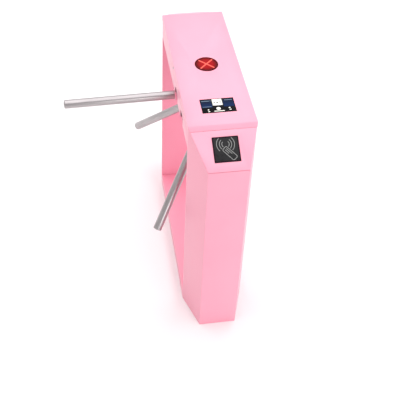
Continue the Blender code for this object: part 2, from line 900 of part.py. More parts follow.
ring(
    "index_roller",
    PIN_RADIUS + RUNNING,
    ROLLER_RADIUS,
    CAM_BACK,
    CAM_FRONT,
    STEEL,
    spin,
    at(ROLLER_AT),
)
cylinder("roller_pin", PIN_RADIUS, CAM_BACK, LEVER_FRONT, DARK_STEEL, spin, at(ROLLER_AT), 16)


def stepped_pin(name, point, shoulder, top):
    """A pin with a collar that stands on the chassis and carries a pivoting piece."""
    turned(
        name,
        [
            (0, top),
            (PIN_RADIUS, top),
            (PIN_RADIUS, shoulder),
            (0.007, shoulder),
            (0.007, CHASSIS_FRONT + GAP),
            (0, CHASSIS_FRONT + GAP),
        ],
        DARK_STEEL,
        spin,
        at(point),
        steps=16,
    )


stepped_pin("lever_pin", LEVER_PIVOT, LEVER_BACK - GAP, LEVER_FRONT + 0.002)
stepped_pin("lever_stop", LEVER_STOP, LEVER_BACK - GAP, LEVER_FRONT + 0.002)

# A torsion spring is wound round the lever pin's collar, between the chassis and the lever.
SPRING_TURNS = 6
SPRING_STEPS = 12
COIL_RADIUS = 0.0088
WIRE_RADIUS = 0.0010
SPRING_LOW = CHASSIS_FRONT + WIRE_RADIUS + GAP
SPRING_HIGH = LEVER_BACK - WIRE_RADIUS - GAP
SPRING_LEG = 0.020
coil_count = SPRING_TURNS * SPRING_STEPS
spring_curve = bpy.data.curves.new("index_spring", "CURVE")
spring_curve.dimensions = "3D"
spring_curve.bevel_depth = WIRE_RADIUS
spring_curve.bevel_resolution = 1
spring_curve.use_fill_caps = True
coil = spring_curve.splines.new("POLY")
coil.points.add(coil_count + 2)
coil_path = [(LEVER_PIVOT.x + COIL_RADIUS, LEVER_PIVOT.y - SPRING_LEG, SPRING_LOW)]
for step in range(coil_count + 1):
    turn = 2 * math.pi * step / SPRING_STEPS
    height = SPRING_LOW + (SPRING_HIGH - SPRING_LOW) * step / coil_count
    x = LEVER_PIVOT.x + COIL_RADIUS * math.cos(turn)
    coil_path.append((x, LEVER_PIVOT.y + COIL_RADIUS * math.sin(turn), height))
coil_path.append((LEVER_PIVOT.x + COIL_RADIUS, LEVER_PIVOT.y + SPRING_LEG, SPRING_HIGH))
for point, place in zip(coil.points, coil_path):
    point.co = (*place, 1)
spring_guide = bpy.data.objects.new("index_spring", spring_curve)
cutters.objects.link(spring_guide)
bpy.context.view_layer.update()
depsgraph = bpy.context.evaluated_depsgraph_get()
spring_mesh = bpy.data.meshes.new_from_object(spring_guide.evaluated_get(depsgraph))
bpy.data.objects.remove(spring_guide)
form = bmesh.new()
form.from_mesh(spring_mesh)
bmesh.ops.remove_doubles(form, verts=form.verts, dist=0.00001)
bmesh.ops.recalc_face_normals(form, faces=form.faces)
form.to_mesh(spring_mesh)
form.free()
add("index_spring", spring_mesh, STEEL, spin)


# --- Locking pawls and their solenoids ----------------------------------------------------------------

TOOTH_HALF = 0.0025
notch_out = Vector((math.cos(PAWL_NOTCH), math.sin(PAWL_NOTCH)))
notch_side = Vector((-notch_out.y, notch_out.x))
PAWL_OUTLINE = [
    notch_out * PAWL_CLEAR - notch_side * TOOTH_HALF,
    notch_out * 0.0640 - notch_side * 0.0036,
    notch_out * 0.0705 - notch_side * 0.0030,
    Vector((0.0690, 0.0220)),
    PAWL_PIVOT + Vector((0.0085, 0.0)),
    PAWL_PIVOT + Vector((0.0050, 0.0075)),
    PAWL_PIVOT + Vector((-0.0050, 0.0075)),
    PAWL_PIVOT + Vector((-0.0080, -0.0020)),
    notch_out * 0.0640 + notch_side * 0.0036,
    notch_out * PAWL_CLEAR + notch_side * TOOTH_HALF,
]
PLUNGER_Y = 0.022
PLUNGER_Z = 0.030
PLUNGER_RADIUS = 0.004
PLUNGER_TIP = 0.0700
SOLENOID_X = (0.080, 0.104)
SOLENOID_HALF = 0.010
SOLENOID_FRONT = 0.041
PAWL_SLACK = 0.0002

for side, name in ((1, "far"), (-1, "near")):
    outline = [(p.x, side * p.y) for p in PAWL_OUTLINE]
    pivot = Vector((PAWL_PIVOT.x, side * PAWL_PIVOT.y))
    plate(
        f"lock_pawl_{name}",
        [outline, circle(PIN_RADIUS + RUNNING, pivot, 16)],
        LOCK_BACK + PAWL_SLACK,
        LOCK_FRONT - PAWL_SLACK,
        DARK_STEEL,
        spin,
    )
    stepped_pin(f"pawl_pin_{name}", pivot, LOCK_BACK - GAP, LOCK_FRONT + 0.002)
    middle = side * PLUNGER_Y
    solenoid = block(
        f"solenoid_{name}",
        (SOLENOID_X[0], middle - SOLENOID_HALF, CHASSIS_FRONT + GAP),
        (SOLENOID_X[1], middle + SOLENOID_HALF, SOLENOID_FRONT),
        PLASTIC,
        spin,
    )
    push = Matrix.Translation((0, middle, PLUNGER_Z)) @ Matrix.Rotation(math.pi / 2, 4, "Y")
    bore = cylinder(
        f"solenoid_bore_{name}", PLUNGER_RADIUS + GAP, 0.07, 0.097, PINK, spin, push, 16
    )
    carve(solenoid, cutter(bore))
    cylinder(
        f"solenoid_plunger_{name}", PLUNGER_RADIUS, PLUNGER_TIP, 0.0960, STEEL, spin, push, 16
    )


# --- Electronics inside the box and the near column ----------------------------------------------------

FLOOR = BOX_BOTTOM + SHEET + GAP
control_board = block(
    "control_board", (-0.060, -0.345, FLOOR + 0.010), (0.060, -0.185, FLOOR + 0.012), BOARD
)
foot = block("board_foot", (-0.050, -0.335, FLOOR), (0.050, -0.195, FLOOR + 0.0105), BOARD)
carve(control_board, cutter(foot), "UNION")
parts_on_board = block(
    "board_parts", (-0.030, -0.300, FLOOR + 0.0115), (0.020, -0.250, FLOOR + 0.022), BOARD
)
carve(control_board, cutter(parts_on_board), "UNION")

panel_back = -(COLUMN_INNER + 0.0005 + SHEET + GAP)
block("power_supply", (-0.055, panel_back - 0.042, 0.150), (0.055, panel_back, 0.350), ZINC)
block("terminal_block", (-0.045, panel_back - 0.022, 0.090), (0.045, panel_back, 0.115), PLASTIC)
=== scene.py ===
import json
import math

import bmesh
import bpy
from mathutils import Matrix, Vector


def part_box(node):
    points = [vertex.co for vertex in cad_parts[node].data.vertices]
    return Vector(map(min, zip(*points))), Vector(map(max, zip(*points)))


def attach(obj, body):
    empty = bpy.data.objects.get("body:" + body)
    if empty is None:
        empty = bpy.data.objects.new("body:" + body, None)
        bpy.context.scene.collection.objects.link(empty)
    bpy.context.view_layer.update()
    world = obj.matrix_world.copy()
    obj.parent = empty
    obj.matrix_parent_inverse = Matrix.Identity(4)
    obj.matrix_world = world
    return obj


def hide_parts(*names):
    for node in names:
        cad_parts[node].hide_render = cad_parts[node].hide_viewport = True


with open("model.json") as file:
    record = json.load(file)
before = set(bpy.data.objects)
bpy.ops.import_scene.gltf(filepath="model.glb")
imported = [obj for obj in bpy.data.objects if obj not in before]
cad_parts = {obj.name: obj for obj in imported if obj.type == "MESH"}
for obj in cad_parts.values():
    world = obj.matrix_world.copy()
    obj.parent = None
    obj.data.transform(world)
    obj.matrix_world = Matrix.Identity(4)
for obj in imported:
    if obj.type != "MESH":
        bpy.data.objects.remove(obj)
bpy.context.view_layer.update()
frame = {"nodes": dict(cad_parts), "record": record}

# --- Powder coat ----------------------------------------------------------------------------------
# Every sheet of the cabinet is degreased steel, sprayed with pink polyester powder and baked.
# The powder melts to a satin skin with a faint orange-peel, a little paler where it lies thin.


class Shade:
    """A socket in a material's nodes. Arithmetic on it adds Math nodes."""

    def __init__(self, tree, socket=None):
        self.tree = tree
        self.socket = socket

    def node(self, kind, settings=None, sockets=None, out=0):
        made = self.tree.nodes.new(kind)
        for name, value in (settings or {}).items():
            if name == "stops":
                for stop, (place, colour) in enumerate(value):
                    if stop < 2:
                        element = made.color_ramp.elements[stop]
                        element.position = place
                    else:
                        element = made.color_ramp.elements.new(place)
                    element.color = colour
            else:
                setattr(made, name, value)
        for name, value in (sockets or {}).items():
            if isinstance(value, Shade):
                self.tree.links.new(value.socket, made.inputs[name])
            else:
                made.inputs[name].default_value = value
        return Shade(self.tree, made.outputs[out])

    def maths(self, operation, first, second=0.0, clamp=False):
        settings = {"operation": operation, "use_clamp": clamp}
        return self.node("ShaderNodeMath", settings, {0: first, 1: second})

    def __add__(self, other):
        return self.maths("ADD", self, other)

    __radd__ = __add__

    def __sub__(self, other):
        return self.maths("SUBTRACT", self, other)

    def __rsub__(self, other):
        return self.maths("SUBTRACT", other, self)

    def __mul__(self, other):
        return self.maths("MULTIPLY", self, other)

    __rmul__ = __mul__

    def size(self):
        return self.maths("ABSOLUTE", self)

    def ease(self, low, high):
        """0 below low, 1 above high and a smooth step between them."""
        return self.node(
            "ShaderNodeMapRange",
            {"interpolation_type": "SMOOTHSTEP"},
            {"Value": self, "From Min": low, "From Max": high, "To Min": 0.0, "To Max": 1.0},
        )

    def mix(self, first, second):
        """first where this is 0 and second where it is 1, as colours."""
        settings = {"data_type": "RGBA"}
        return self.node("ShaderNodeMix", settings, {0: self, 6: first, 7: second}, out=2)

    def noise(self, place, scale, detail=2.0, roughness=0.5):
        sockets = {"Vector": place, "Scale": scale, "Detail": detail, "Roughness": roughness}
        return self.node("ShaderNodeTexNoise", None, sockets)

    def place(self, scale=(1, 1, 1), centre=(0, 0, 0), coordinates="Object"):
        """Where a point is on the piece, in metres, moved to a centre and then scaled."""
        seen = self.node("ShaderNodeTexCoord", out=coordinates)
        moved = self.node("ShaderNodeVectorMath", {"operation": "SUBTRACT"}, {0: seen, 1: centre})
        return self.node("ShaderNodeVectorMath", {"operation": "MULTIPLY"}, {0: moved, 1: scale})

    def parts(self):
        """The X, Y and Z of a vector."""
        first = self.node("ShaderNodeSeparateXYZ", None, {0: self})
        node = first.socket.node
        return [Shade(self.tree, socket) for socket in node.outputs]


def surface(name, **uniform):
    """A material, its start for node maths, and a way to link what varies into its shader."""
    made = bpy.data.materials.new(name)
    made.use_nodes = True
    shader = made.node_tree.nodes["Principled BSDF"]
    for socket, value in uniform.items():
        shader.inputs[socket.replace("_", " ")].default_value = value

    def link(value, socket):
        made.node_tree.links.new(value.socket, shader.inputs[socket])

    return made, Shade(made.node_tree), link


POWDER_PINK = (0.955, 0.352, 0.472, 1)
POWDER_PALE = (0.965, 0.372, 0.492, 1)
POWDER_DEEP = (0.900, 0.285, 0.400, 1)
powder_coat, start, link = surface("powder_coat", Coat_Weight=0.25, Coat_Roughness=0.30)
where = start.place()
cloud = start.noise(where, 5.0, 3.0)
height = where.parts()[2]
scuffs_and_shade_patches = start.noise(start.place((60, 60, 9)), 1.0, 5.0, 0.65)
# Painted shade: within 5 cm of the floor the pink turns deeper, broken into patches by the same
# noise that varies the roughness of scuffs.
floor_contact_shade = (1 - height.ease(0.0, 0.05)) * scuffs_and_shade_patches.ease(0.48, 0.66)
tint = cloud.ease(0.3, 0.7).mix(POWDER_PINK, POWDER_PALE)
link((floor_contact_shade * 0.35).mix(tint, POWDER_DEEP), "Base Color")
peel = start.noise(where, 620.0, 2.0)
ripple = start.noise(where, 150.0, 1.0)
link(0.33 + 0.10 * cloud + 0.08 * scuffs_and_shade_patches.ease(0.5, 0.8), "Roughness")
skin = peel * 0.6 + ripple * 0.4
link(
    start.node("ShaderNodeBump", None, {"Strength": 0.16, "Distance": 0.0006, "Height": skin}),
    "Normal",
)


# --- Folded sheet ---------------------------------------------------------------------------------
# The cabinet is 2 mm sheet, laser cut and folded on a press brake. A fold has an outer radius of
# about the sheet's thickness, and the cut edges are deburred before the paint goes on.
FOLD_RADIUS = 0.0024
DEBURR_RADIUS = 0.0005
FOLD_ANGLE = math.radians(12)
NARROW_FACE = 0.004


def folded(name, node, body, skin, fold=FOLD_RADIUS, deburr=DEBURR_RADIUS, slot="pink_powder_coat"):
    """A CAD node's sheet with its folds and its cut edges rounded, in place of the node."""
    form = bmesh.new()
    form.from_mesh(frame["nodes"][node].data)
    bmesh.ops.remove_doubles(form, verts=form.verts, dist=0.00001)
    flat = math.radians(0.5)
    bmesh.ops.dissolve_limit(form, angle_limit=flat, verts=form.verts, edges=form.edges)
    weight = form.edges.layers.float.new("bevel_weight_edge")
    for edge in form.edges:
        if len(edge.link_faces) != 2 or edge.calc_face_angle(0) < FOLD_ANGLE:
            continue
        width = min(face.calc_area() / edge.calc_length() for face in edge.link_faces)
        is_fold = width > NARROW_FACE and edge.is_convex
        edge[weight] = 1.0 if is_fold else deburr / fold
    mesh = bpy.data.meshes.new(name)
    form.to_mesh(mesh)
    form.free()
    piece = bpy.data.objects.new(name, mesh)
    bpy.context.scene.collection.objects.link(piece)
    bevel = piece.modifiers.new("edges", "BEVEL")
    bevel.limit_method = "WEIGHT"
    bevel.width = fold
    bevel.segments = 3
    bevel.use_clamp_overlap = True
    settle(piece)
    mesh = piece.data
    mesh.shade_smooth()
    mesh.set_sharp_from_angle(angle=math.radians(35))
    return dress(piece, skin, body, slot, node)


def settle(piece):
    """The piece's modifiers turned into plain mesh."""
    bpy.context.view_layer.update()
    graph = bpy.context.evaluated_depsgraph_get()
    mesh = bpy.data.meshes.new_from_object(piece.evaluated_get(graph))
    piece.modifiers.clear()
    piece.data = mesh


def dress(piece, skin, body, slot, *nodes):
    """The piece gets its material, rides on its body and stands for its CAD nodes."""
    piece.data.materials.clear()
    piece.data.materials.append(skin)
    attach(piece, body)
    if nodes:
        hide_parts(*nodes)
    return piece


# --- Base and floor tray --------------------------------------------------------------------------
# A 6 mm steel plate stands on the floor under both columns, and anchor bolts go through it. A
# folded tray hides it between the columns.
folded("base_plate_cut", "base_plate", "cabinet", powder_coat, fold=0.0012)
folded("floor_tray_folded", "floor_tray", "cabinet", powder_coat)


# --- Columns --------------------------------------------------------------------------------------
# Each column is one sheet folded four times into an open trapezoid. A flat service panel closes
# its inner side, and a sloping panel closes its top.
for side in ("near", "far"):
    folded(f"{side}_column_folded", f"{side}_column", "cabinet", powder_coat)
    folded(f"{side}_service_panel_cut", f"{side}_service_panel", "cabinet", powder_coat)
    folded(f"{side}_slope_panel_cut", f"{side}_slope_panel", "cabinet", powder_coat, fold=0.0009)


# --- Bridge box, lid and mechanism cover ----------------------------------------------------------
# The box is a folded channel between the columns. The lid is a shallow folded pan that drops over
# it, and a pink cover hangs under it round the mechanism.
folded("box_pan_folded", "box_pan", "cabinet", powder_coat)
folded("lid_folded", "lid", "cabinet", powder_coat, fold=0.0020, deburr=0.0004)
folded("mechanism_cover_folded", "mechanism_cover", "cabinet", powder_coat, deburr=0.0004)


# --- Hub and sockets ------------------------------------------------------------------------------
# The hub is an aluminium casting, turned on its back and coated like the cabinet. Three sockets
# stand out of it on a cone, each bored for an arm.
spin_joint = next(j for j in frame["record"]["behaviour"]["joints"] if j["name"] == "tripod_spin")
APEX = Vector(spin_joint["pos_m"])
SPIN = Vector(spin_joint["axis"]).normalized()
TILT = math.acos(-SPIN.x)
REST_TURN = math.radians(-2.0)
spin_frame = Matrix.Translation(APEX) @ Matrix(
    (Vector((-math.sin(TILT), 0, math.cos(TILT))), Vector((0, 1, 0)), SPIN)
).transposed().to_4x4()
arm_frames = []
for number in range(3):
    turn = REST_TURN + number * 2 * math.pi / 3
    lean = Matrix.Rotation(turn, 4, "Z") @ Matrix.Rotation(TILT, 4, "Y")
    arm_frames.append(spin_frame @ lean)


def lathe(name, profile, place, steps=72, sharp=math.radians(40), closed=False):
    """A turned piece whose profile runs from its top down its outer side, with UVs in metres."""
    form = bmesh.new()
    rings = []
    for radius, height in profile:
        if radius < 1e-6:
            rings.append([form.verts.new((0, 0, height))])
            continue
        ring = []
        for step in range(steps):
            turn = 2 * math.pi * step / steps
            ring.append(form.verts.new((radius * math.cos(turn), radius * math.sin(turn), height)))
        rings.append(ring)
    if closed:
        rings.append(rings[0])
    unwrap = form.loops.layers.uv.new("along")
    travelled = 0.0
    reach = max(radius for radius, height in profile)
    for row, (upper, lower) in enumerate(zip(rings, rings[1:])):
        start_point = Vector(profile[row])
        end_point = Vector(profile[(row + 1) % len(profile)])
        further = travelled + (end_point - start_point).length
        for step in range(steps):
            after = (step + 1) % steps
            corners = []
            if len(upper) > 1:
                corners += [(upper[after], step + 1, travelled), (upper[step], step, travelled)]
            else:
                corners += [(upper[0], step + 0.5, travelled)]
            if len(lower) > 1:
                corners += [(lower[step], step, further), (lower[after], step + 1, further)]
            else:
                corners += [(lower[0], step + 0.5, further)]
            face = form.faces.new([corner[0] for corner in corners])
            for loop, (_, turned, way) in zip(face.loops, corners):
                loop[unwrap].uv = (turned / steps * 2 * math.pi * reach, way)
        travelled = further
    bmesh.ops.recalc_face_normals(form, faces=form.faces)
    mesh = bpy.data.meshes.new(name)
    form.to_mesh(mesh)
    form.free()
    mesh.transform(place)
    mesh.shade_smooth()
    mesh.set_sharp_from_angle(angle=sharp)
    piece = bpy.data.objects.new(name, mesh)
    bpy.context.scene.collection.objects.link(piece)
    return piece


def arc(centre, radius, start, end, steps=5):
    """Points of a rounded corner in a profile, from one angle to another, in degrees."""
    points = []
    for step in range(steps + 1):
        turn = math.radians(start + (end - start) * step / steps)
        points.append((centre[0] + radius * math.cos(turn), centre[1] + radius * math.sin(turn)))
    return points


def combine(piece, tool, operation):
    """Joins or cuts a piece by a tool, which is then thrown away."""
    boolean = piece.modifiers.new("combine", "BOOLEAN")
    boolean.operation = operation
    boolean.solver = "EXACT"
    boolean.object = tool
    settle(piece)
    bpy.data.objects.remove(tool)


HUB_PROFILE = [
    (0, 0.1235),
    (0.020, 0.1230),
    (0.034, 0.1205),
    (0.048, 0.1145),
    (0.059, 0.1060),
    (0.0665, 0.0965),
    (0.0705, 0.0870),
    *arc((0.0675, 0.0700), 0.003, 0, -90),
    *arc((0.0270, 0.0640), 0.003, 90, 180),
    (0.0240, 0.0432),
    (0.0232, 0.0426),
    (0, 0.0426),
]
SOCKET_RADIUS = 0.0225
SOCKET_START = 0.1010
SOCKET_END = 0.178
SOCKET_EDGE = 0.0014
BORE_RADIUS = 0.0178
BORE_START = 0.150
BORE_PAST = 0.20
hub = lathe("hub_casting", HUB_PROFILE, spin_frame, 96)
for place in arm_frames:
    socket_profile = [
        (0, SOCKET_END - 0.001),
        (BORE_RADIUS + 0.0004, SOCKET_END - 0.001),
        *arc((SOCKET_RADIUS - SOCKET_EDGE, SOCKET_END - SOCKET_EDGE), SOCKET_EDGE, 90, 0),
        (SOCKET_RADIUS, SOCKET_START),
        (0, SOCKET_START),
    ]
    combine(hub, lathe("socket", socket_profile, place, 64), "UNION")
for place in arm_frames:
    bore_profile = [
        (0, BORE_PAST),
        (BORE_RADIUS, BORE_PAST),
        (BORE_RADIUS, BORE_START),
        (0, BORE_START),
    ]
    combine(hub, lathe("socket_bore", bore_profile, place, 64), "DIFFERENCE")
hub.data.shade_smooth()
hub.data.set_sharp_from_angle(angle=math.radians(32))
dress(hub, powder_coat, "tripod", "pink_powder_coat", "rotor_hub")

# --- Brushed stainless: arms, end caps and nose cap -----------------------------------------------
# The arms are 35 mm stainless tube, polished along their length with a fine belt. A domed plug is
# pressed into each free end and dressed flush, and a flat cap closes the hub's nose.
STEEL_LIGHT = (0.51, 0.475, 0.48, 1)
STEEL_DARK = (0.37, 0.34, 0.35, 1)
brushed_steel, start, link = surface("brushed_steel", Metallic=1.0)
hairlines = start.noise(start.place((1400, 14, 1), coordinates="UV"), 1.0, 3.0, 0.6)
polish = start.noise(start.place((30, 6, 1), coordinates="UV"), 1.0, 3.0)
shine = hairlines.ease(0.32, 0.68)
link((shine * 0.55 + polish.ease(0.35, 0.65) * 0.3).mix(STEEL_LIGHT, STEEL_DARK), "Base Color")
link(0.24 + 0.12 * shine + 0.06 * polish, "Roughness")
scratch = {"Strength": 0.25, "Distance": 0.00008, "Height": hairlines}
link(start.node("ShaderNodeBump", None, scratch), "Normal")

ARM_RADIUS = 0.0175
ARM_START = 0.1510
ARM_END = 0.6176
ARM_TIP = 0.6234
ARM_RINGS = (0.46, 0.31)
TUBE_WALL = 0.0015
TUBE_EDGE = 0.0004
CAP_GAP = 0.0003
PLUG_DEPTH = 0.015
PLUG_CHAMFER = 0.001
DOME_STEPS = 12
for number, place in enumerate(arm_frames, 1):
    tube_profile = [
        (ARM_RADIUS - TUBE_WALL, ARM_END),
        *arc((ARM_RADIUS - TUBE_EDGE, ARM_END - TUBE_EDGE), TUBE_EDGE, 90, 0, 3),
        *((ARM_RADIUS, ring) for ring in ARM_RINGS),
        (ARM_RADIUS, ARM_START),
        (ARM_RADIUS - TUBE_WALL, ARM_START),
    ]
    tube = lathe(f"arm_{number}_tube", tube_profile, place, 72, closed=True)
    dress(tube, brushed_steel, "tripod", "brushed_stainless", f"arm_tube_{number}")
    dome_base = ARM_END + CAP_GAP
    dome = []
    for step in range(DOME_STEPS + 1):
        turn = math.radians(90 - 90 * step / DOME_STEPS)
        rise = (ARM_TIP - 0.0002 - dome_base) * math.sin(turn)
        dome.append(((ARM_RADIUS - 0.0001) * math.cos(turn), dome_base + rise))
    dome[0] = (0, dome[0][1])
    plug_radius = ARM_RADIUS - TUBE_WALL - CAP_GAP
    plug_end = ARM_END - PLUG_DEPTH
    cap_profile = [
        *dome,
        (plug_radius, dome_base),
        (plug_radius, plug_end + PLUG_CHAMFER),
        (plug_radius - PLUG_CHAMFER, plug_end),
        (0, plug_end),
    ]
    cap = lathe(f"arm_{number}_end_cap", cap_profile, place, 72, math.radians(60))
    dress(cap, brushed_steel, "tripod", "brushed_stainless", f"arm_end_cap_{number}")

nose_profile = [
    (0, 0.1284),
    (0.012, 0.1282),
    (0.021, 0.1276),
    *arc((0.0240, 0.1262), 0.0015, 60, 0, 4),
    (0.0255, 0.1246),
    (0, 0.1246),
]
nose = lathe("nose_cap", nose_profile, spin_frame, 72, math.radians(50))
dress(nose, brushed_steel, "tripod", "brushed_stainless", "hub_nose_cap")


# --- Indicator light ------------------------------------------------------------------------------
# A smoked red acrylic lens sits in the lid over a round board of red lamps. The board lights a
# cross for "stop", and its lamps show through the lens as a row of dots.
LENS_RADIUS = 0.0463
LENS_TOP = 1.0010
LENS_SEAT = 0.9942
LENS_RIM_SHADE = (0.055, 0.001, 0.003, 1)
LENS_RED = (0.270, 0.001, 0.003, 1)
LENS_GLOW = (0.80, 0.11, 0.08, 1)
CROSS_HALF = 0.0042
CROSS_REACH = 0.041
DOT_PITCH = 0.0050
lens_red, start, link = surface("lens_red", Roughness=0.12, Specular_IOR_Level=0.05)
x, y, z = start.place().parts()
radius = start.maths("SQRT", x * x + y * y)
one_way = (x - y) * math.sqrt(0.5)
other_way = (x + y) * math.sqrt(0.5)
near_bar = start.maths("MINIMUM", one_way.size(), other_way.size())
cross = (1 - near_bar.ease(CROSS_HALF * 0.55, CROSS_HALF)) * (
    1 - radius.ease(CROSS_REACH * 0.88, CROSS_REACH)
)
lamps = start.maths("SINE", one_way * (2 * math.pi / DOT_PITCH)) * start.maths(
    "SINE", other_way * (2 * math.pi / DOT_PITCH)
)
lit = cross * (0.75 + 0.25 * lamps.size())
# Painted shade: outside the cross the lens darkens from its middle towards its rim.
painted_rim_shade = radius.ease(LENS_RADIUS * 0.45, LENS_RADIUS * 1.02)
ground = painted_rim_shade.mix(LENS_RED, LENS_RIM_SHADE)
link(lit.mix(ground, LENS_GLOW), "Base Color")
# Painted glow: outside the cross the lens's middle glows faintly red and fades out at the rim,
# though only the cross has lamps behind it.
glow = lit.mix(painted_rim_shade.mix((0.14, 0.001, 0.002, 1), (0.0, 0.0, 0.0, 1)), (0.30, 0.06, 0.05, 1))
link(glow, "Emission Color")
lens_red.node_tree.nodes["Principled BSDF"].inputs["Emission Strength"].default_value = 0.9
lens_profile = [
    (0, LENS_TOP),
    (0.012, LENS_TOP - 0.00003),
    (0.024, LENS_TOP - 0.00014),
    (0.036, LENS_TOP - 0.00034),
    (0.0445, LENS_TOP - 0.0006),
    *arc((LENS_RADIUS - 0.0010, LENS_TOP - 0.0018), 0.0010, 80, 0, 5),
    (LENS_RADIUS, LENS_SEAT),
    (0, LENS_SEAT),
]
lens = lathe("indicator_lens_turned", lens_profile, Matrix.Identity(4), 96, math.radians(50))
dress(lens, lens_red, "cabinet", "red_lens", "indicator_lens")


# --- Display --------------------------------------------------------------------------------------
# A black-backed acrylic window lies flush in the lid over a small colour screen. The screen shows
# two blue panes beside a pale one, with plain bars and dots in place of words.
DISPLAY_TOP = 1.0004
display_low, display_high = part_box("display_window")
display_middle = (display_low + display_high) / 2
display_size = display_high - display_low
PRINT = 0.00012


def rounded(size, corner, middle=(0, 0), steps=5):
    """The outline of a rectangle with round corners."""
    points = []
    reach = (size[0] / 2 - corner, size[1] / 2 - corner)
    for across, along, start_turn in ((1, 1, 0), (-1, 1, 90), (-1, -1, 180), (1, -1, 270)):
        centre = (middle[0] + across * reach[0], middle[1] + along * reach[1])
        points += arc(centre, corner, start_turn, start_turn + 90, steps)
    return points


def slab(name, outline, low, high, place, bevel=0.0):
    """A flat piece with the outline given, between two heights, and a soft upper edge."""
    form = bmesh.new()
    bottom = [form.verts.new((px, py, low)) for px, py in outline]
    top = [form.verts.new((px, py, high)) for px, py in outline]
    count = len(outline)
    form.faces.new(list(reversed(bottom)))
    lid_face = form.faces.new(top)
    for step in range(count):
        after = (step + 1) % count
        form.faces.new((bottom[step], bottom[after], top[after], top[step]))
    if bevel:
        edges = list(lid_face.edges)
        bmesh.ops.bevel(
            form, geom=edges, offset=bevel, segments=3, profile=0.5, affect="EDGES"
        )
    mesh = bpy.data.meshes.new(name)
    form.to_mesh(mesh)
    form.free()
    mesh.transform(place)
    mesh.shade_smooth()
    mesh.set_sharp_from_angle(angle=math.radians(40))
    piece = bpy.data.objects.new(name, mesh)
    bpy.context.scene.collection.objects.link(piece)
    return piece


def merge(name, pieces):
    """Several meshes of one material as one piece."""
    form = bmesh.new()
    for piece in pieces:
        form.from_mesh(piece.data)
        bpy.data.objects.remove(piece)
    mesh = bpy.data.meshes.new(name)
    form.to_mesh(mesh)
    form.free()
    mesh.shade_smooth()
    mesh.set_sharp_from_angle(angle=math.radians(40))
    whole = bpy.data.objects.new(name, mesh)
    bpy.context.scene.collection.objects.link(whole)
    return whole


black_acrylic, start, link = surface("black_acrylic", Specular_IOR_Level=0.05)
smears = start.noise(start.place((25, 40, 25)), 1.0, 4.0, 0.6)
link(smears.mix((0.002, 0.002, 0.003, 1), (0.005, 0.005, 0.006, 1)), "Base Color")
link(0.10 + 0.12 * smears.ease(0.45, 0.7), "Roughness")
display_place = Matrix.Translation((display_middle.x, display_middle.y, 0))
window_size = (display_size.x - 0.0002, display_size.y - 0.0002)
window = slab(
    "display_window_cut",
    rounded(window_size, 0.0015),
    display_low.z,
    DISPLAY_TOP,
    display_place,
    0.0004,
)
dress(window, black_acrylic, "cabinet", "black_glass", "display_window")

BLUE_TOP = (0.003, 0.007, 0.020, 1)
BLUE_LOW = (0.003, 0.017, 0.070, 1)
blue_pane, start, link = surface("blue_pane", Roughness=0.15, Specular_IOR_Level=0.05)
down = start.place((1, 1, 1), tuple(display_middle)).parts()[1]
fade = down.ease(-0.010, 0.034)
scan = start.maths("SINE", down * (2 * math.pi / 0.0012)).ease(-1.0, 1.0)
pane_colour = (fade * (0.85 + 0.15 * scan)).mix(BLUE_LOW, BLUE_TOP)
link(pane_colour, "Base Color")
link(pane_colour, "Emission Color")
blue_pane.node_tree.nodes["Principled BSDF"].inputs["Emission Strength"].default_value = 0.25
PANE_SIZE = (0.0405, 0.0440)
PANE_AT = (0.0415, 0.0125)
panes = [
    slab(
        "pane",
        rounded(PANE_SIZE, 0.001, (side * PANE_AT[0], PANE_AT[1])),
        DISPLAY_TOP - PRINT,
        DISPLAY_TOP + PRINT,
        display_place,
    )
    for side in (-1, 1)
]
dress(merge("display_panes", panes), blue_pane, "cabinet", "black_glass")

lit_white, start, link = surface("lit_white", Roughness=0.2)
speckle = start.noise(start.place((900, 900, 900)), 1.0, 2.0)
white = speckle.ease(0.2, 0.8).mix((0.66, 0.65, 0.58, 1), (0.72, 0.71, 0.66, 1))
link(white, "Base Color")
link(white, "Emission Color")
lit_white.node_tree.nodes["Principled BSDF"].inputs["Emission Strength"].default_value = 0.35


def printed(name, outlines, level=1):
    """Thin printed shapes on the display, as one piece."""
    low = DISPLAY_TOP - PRINT
    high = DISPLAY_TOP + PRINT * (level + 1)
    return merge(name, [slab("shape", shape, low, high, display_place) for shape in outlines])


def disc(radius, middle, steps=24):
    """The outline of a small round dot."""
    return arc(middle, radius, 0, 360 - 360 / steps, steps - 1)


white_shapes = [
    rounded((0.0370, 0.0370), 0.0010, (0.0, 0.0190)),
    disc(0.0082, (-0.001, -0.0185)),
    rounded((0.0400, 0.0045), 0.0020, (0.0005, -0.0325)),
    disc(0.0030, (-0.0395, -0.0225), 16),
    rounded((0.0080, 0.0040), 0.0018, (-0.0385, -0.0330)),
    disc(0.0036, (0.0405, -0.0180), 16),
    rounded((0.0080, 0.0045), 0.0020, (0.0425, -0.0280)),
]
dress(printed("display_white_shapes", white_shapes), lit_white, "cabinet", "black_glass")

pale_blue, start, link = surface("pale_blue", Roughness=0.2)
speckle = start.noise(start.place((700, 700, 700)), 1.0, 2.0)
pale = speckle.mix((0.06, 0.11, 0.17, 1), (0.10, 0.16, 0.23, 1))
link(pale, "Base Color")
link(pale, "Emission Color")
pale_blue.node_tree.nodes["Principled BSDF"].inputs["Emission Strength"].default_value = 0.2
bars = [
    rounded((0.0300, 0.0040), 0.0012, (-0.0440, 0.0285)),
    disc(0.0020, (-0.0255, 0.0290), 12),
    rounded((0.0300, 0.0036), 0.0012, (0.0430, 0.0285)),
    rounded((0.0330, 0.0026), 0.0010, (-0.0420, -0.0050)),
]
dress(printed("display_pale_bars", bars), pale_blue, "cabinet", "black_glass")

